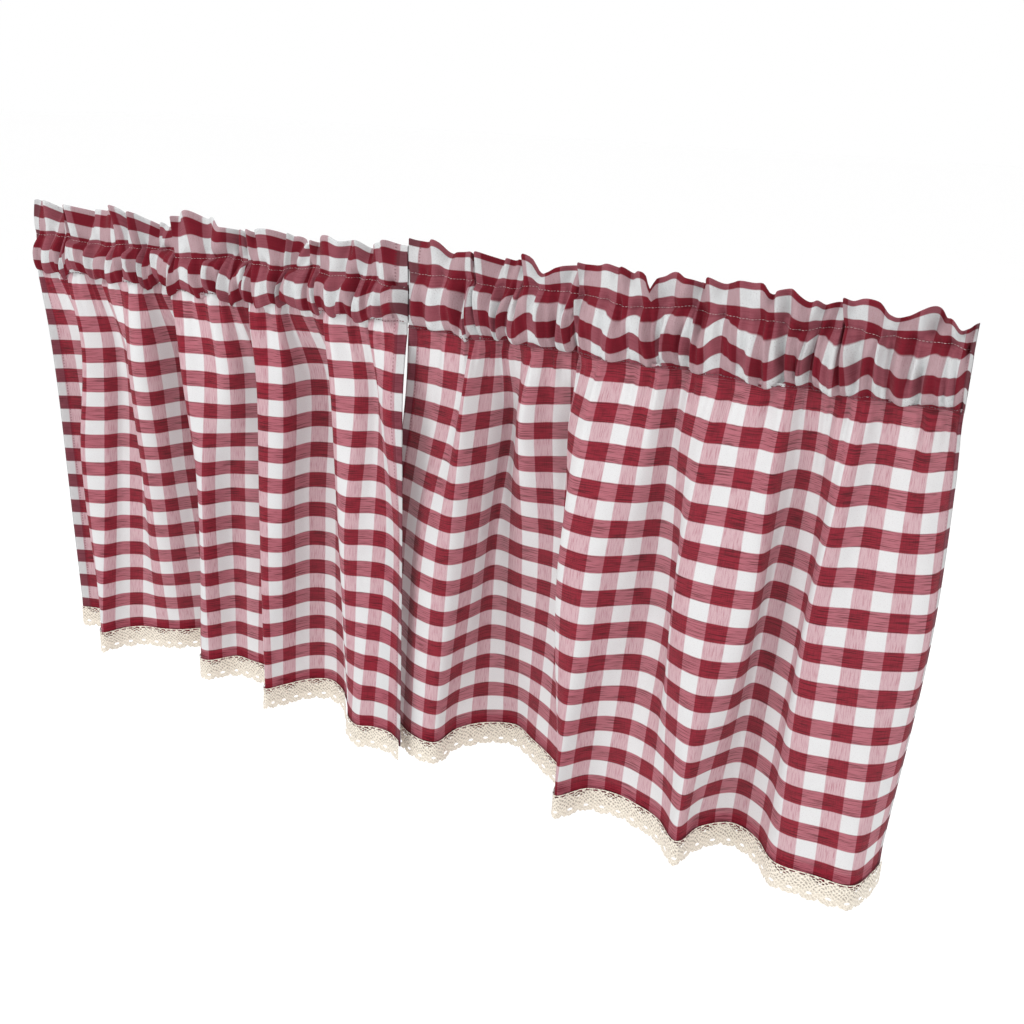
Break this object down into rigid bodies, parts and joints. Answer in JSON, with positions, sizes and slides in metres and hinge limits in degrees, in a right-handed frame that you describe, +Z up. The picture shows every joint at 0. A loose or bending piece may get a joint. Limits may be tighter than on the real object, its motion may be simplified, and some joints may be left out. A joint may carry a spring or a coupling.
{
  "type": "pair of gathered gingham rod-pocket valance panels",
  "caption": "Gathered gingham cafe-tier valance panels with a ruffled rod pocket and a cotton lace trim, hung in soft folds from one rod.",
  "frame": {"origin": "centre line of the unseen rod in the pockets, at mid-span between the two panels", "axes": "+X along the rod to the viewer's right, +Y away from the viewer, +Z up"},
  "size_m": [1.1476, 0.1215, 0.6004],
  "materials": {
    "gingham": "woven crimson and white check, matt",
    "doubled_gingham": "the same check in two layers, matt and opaque",
    "cotton_lace": "ecru bobbin-style cotton lace, matt"
  },
  "bodies": {
    "root": {"panel_left": "gingham", "panel_right": "gingham", "heading_left": "doubled_gingham", "heading_right": "doubled_gingham", "lace_left": "cotton_lace", "lace_right": "cotton_lace"}
  },
  "joints": []
}
